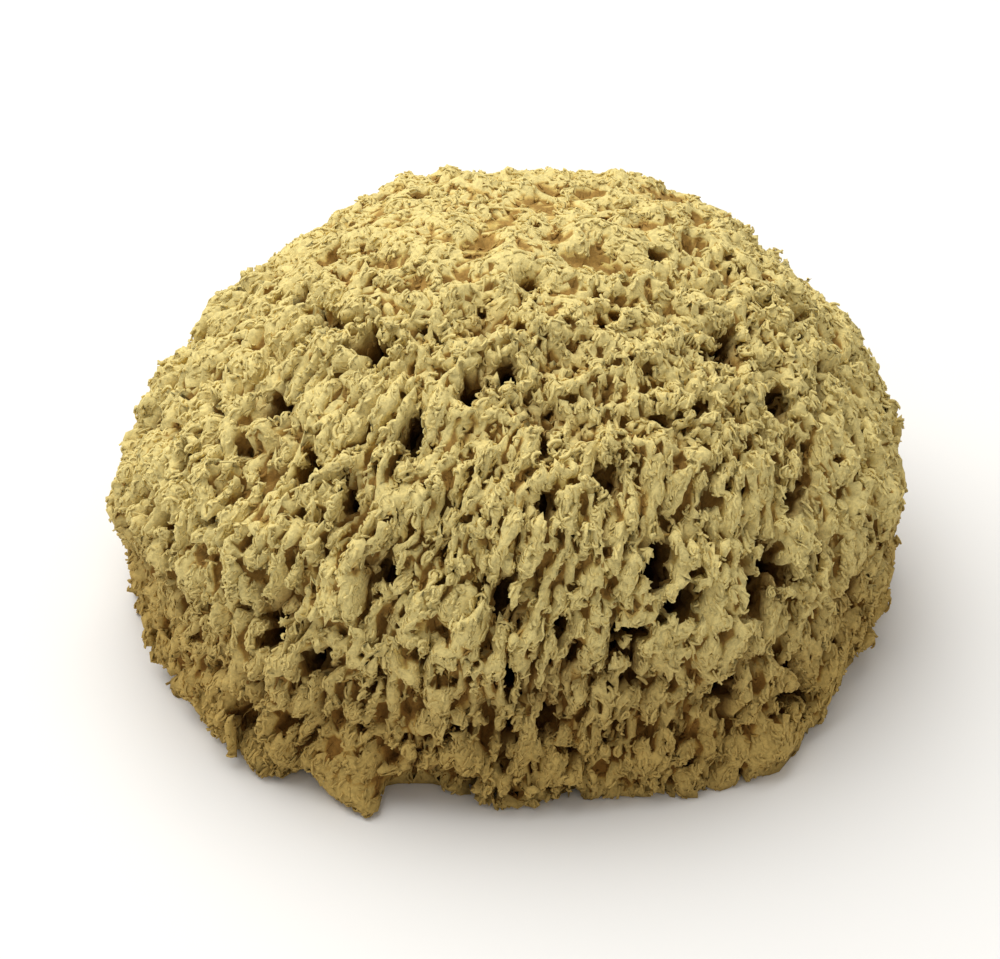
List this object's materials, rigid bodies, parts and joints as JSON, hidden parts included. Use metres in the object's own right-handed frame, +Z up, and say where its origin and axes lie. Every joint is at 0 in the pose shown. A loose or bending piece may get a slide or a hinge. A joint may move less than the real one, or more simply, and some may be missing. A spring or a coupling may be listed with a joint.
{
  "type": "sea sponge",
  "caption": "Natural bath sponge: a rough, tufted, pitted dome of dried skeleton with a flat cut base that it rests on.",
  "frame": {"origin": "on the plane of the cut base, under the middle of the sponge's bounding box", "axes": "+Z up from the cut base to the crown, +X to the right along the longest extent, -Y to the front that the picture shows"},
  "size_m": [0.1838, 0.1636, 0.1028],
  "materials": {
    "skeleton": "matt, soft fibrous, ochre yellow with amber brown hollows"
  },
  "bodies": {
    "root": {"sponge": "skeleton"}
  },
  "joints": []
}
